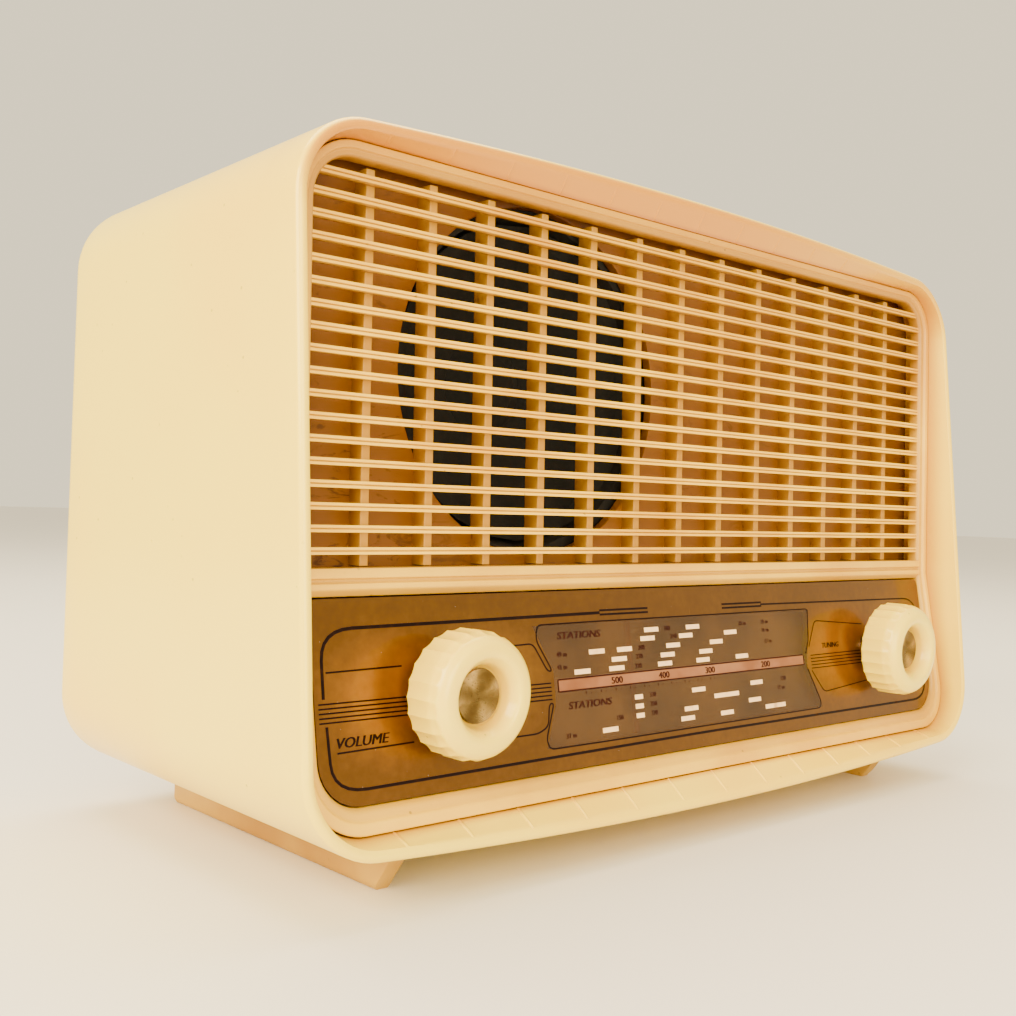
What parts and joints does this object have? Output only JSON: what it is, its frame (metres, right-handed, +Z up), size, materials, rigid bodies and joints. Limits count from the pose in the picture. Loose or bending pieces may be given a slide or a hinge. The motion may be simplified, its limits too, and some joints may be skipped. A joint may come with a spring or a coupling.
{
  "type": "table radio",
  "caption": "Small valve table radio with a cream moulded cabinet, slatted grille, sloping brown and gold dial and two round knobs.",
  "frame": {"origin": "middle of the overall box at the height of the surface that the radio stands on", "axes": "+Z up, the front faces -Y, +X to the right of someone facing the front"},
  "size_m": [0.2748, 0.1408, 0.1783],
  "materials": {
    "cabinet": "glossy moulded cream plastic",
    "grille": "semi-gloss moulded cream plastic",
    "dial": "brown and gold print behind glass",
    "gold_plate": "satin gold paint",
    "cord_thread": "waxed thread",
    "pointer": "red paint",
    "knob": "glossy moulded pale cream plastic",
    "brass": "spun, lacquered",
    "steel": "turned",
    "plated_steel": "zinc plated",
    "aluminium": "drawn",
    "iron": "lacquered",
    "cone_paper": "pressed black paper",
    "valve_glass": "clear blown glass",
    "ferrite": "sintered, dull",
    "copper": "enamelled copper wire",
    "phenolic": "brown phenolic",
    "hardboard": "pressed hardboard",
    "black_plastic": "black moulded plastic",
    "rubber": "soft black rubber"
  },
  "bodies": {
    "root": {"cabinet_shell": "cabinet", "left_runner": "cabinet", "right_runner": "cabinet", "front_grille": "grille", "dial_glass": "dial", "dial_plate": "gold_plate", "dial_cord": "cord_thread", "volume_control": "plated_steel", "tuning_bushing": "brass", "tuning_capacitor_frame": "aluminium", "speaker_basket": "plated_steel", "speaker_magnet": "iron", "chassis": "plated_steel", "valve_converter": "valve_glass", "valve_amplifier": "valve_glass", "valve_detector": "valve_glass", "valve_output": "valve_glass", "valve_rectifier": "valve_glass", "valve_socket_converter": "phenolic", "valve_socket_amplifier": "phenolic", "valve_socket_detector": "phenolic", "valve_socket_output": "phenolic", "valve_socket_rectifier": "phenolic", "if_can_first": "aluminium", "if_can_second": "aluminium", "mains_transformer": "iron", "output_transformer": "iron", "electrolytic_can": "aluminium", "lamp_holder": "brass", "dial_lamp": "valve_glass", "ferrite_rod": "ferrite", "ferrite_coil": "copper", "ferrite_clip_left": "phenolic", "ferrite_clip_right": "phenolic", "rear_cover": "hardboard", "rear_screw_1": "steel", "rear_screw_2": "steel", "rear_screw_3": "steel", "rear_screw_4": "steel", "voltage_selector_base": "phenolic", "aerial_socket_plate": "phenolic", "cord_grommet": "rubber"},
    "volume": {"volume_knob": "knob", "volume_knob_disc": "brass", "volume_shaft": "steel"},
    "tuning": {"tuning_knob": "knob", "tuning_knob_disc": "brass", "tuning_shaft": "steel"},
    "drum": {"drive_drum": "knob", "tuning_capacitor_rotor": "aluminium"},
    "pointer": {"dial_pointer": "pointer"},
    "pulley_upper": {"idler_pulley_upper": "knob"},
    "pulley_lower_left": {"idler_pulley_lower_left": "knob"},
    "pulley_lower_right": {"idler_pulley_lower_right": "knob"},
    "selector": {"voltage_selector": "black_plastic"},
    "cone": {"speaker_cone": "cone_paper"}
  },
  "joints": [
    {"name": "volume_turn", "type": "hinge", "parent": "root", "child": "volume", "pos_m": [-0.0934, -0.04795, 0.0469], "axis": [0, 1, 0], "range_deg": [0, 300]},
    {"name": "tuning_turn", "type": "hinge", "parent": "root", "child": "tuning", "pos_m": [0.0914, -0.04795, 0.0469], "axis": [0, 1, 0], "range_deg": [-304.38, 1045.65]},
    {"name": "drum_turn", "type": "hinge", "parent": "root", "child": "drum", "pos_m": [0.052, -0.03895, 0.0452], "axis": [0, 1, 0], "range_deg": [-40.78, 139.62]},
    {"name": "pointer_slide", "type": "slide", "parent": "root", "child": "pointer", "axis": [1, 0, 0], "range_m": [-0.0171, 0.0585]},
    {"name": "pulley_upper_turn", "type": "hinge", "parent": "root", "child": "pulley_upper", "pos_m": [-0.058, -0.03895, 0.0657], "axis": [0, 1, 0], "range_deg": [-279.29, 957.02]},
    {"name": "pulley_lower_left_turn", "type": "hinge", "parent": "root", "child": "pulley_lower_left", "pos_m": [-0.058, -0.03895, 0.0226], "axis": [0, 1, 0], "range_deg": [-279.29, 957.02]},
    {"name": "pulley_lower_right_turn", "type": "hinge", "parent": "root", "child": "pulley_lower_right", "pos_m": [0.0911, -0.03895, 0.0226], "axis": [0, 1, 0], "range_deg": [-279.29, 957.02]},
    {"name": "selector_turn", "type": "hinge", "parent": "root", "child": "selector", "pos_m": [-0.084, 0.06555, 0.052], "axis": [0, -1, 0], "range_deg": [0, 240]},
    {"name": "cone_slide", "type": "slide", "parent": "root", "child": "cone", "axis": [0, 1, 0], "range_m": [-0.001, 0.001], "stiffness_N_per_m": 1200}
  ],
  "couplings": [
    {"joint": "drum_turn", "follows": "tuning_turn", "ratio": 0.13333},
    {"joint": "pointer_slide", "follows": "tuning_turn", "m_per_rad": 0.0032},
    {"joint": "pulley_upper_turn", "follows": "tuning_turn", "ratio": 0.91429},
    {"joint": "pulley_lower_left_turn", "follows": "tuning_turn", "ratio": 0.91429},
    {"joint": "pulley_lower_right_turn", "follows": "tuning_turn", "ratio": 0.91429}
  ]
}
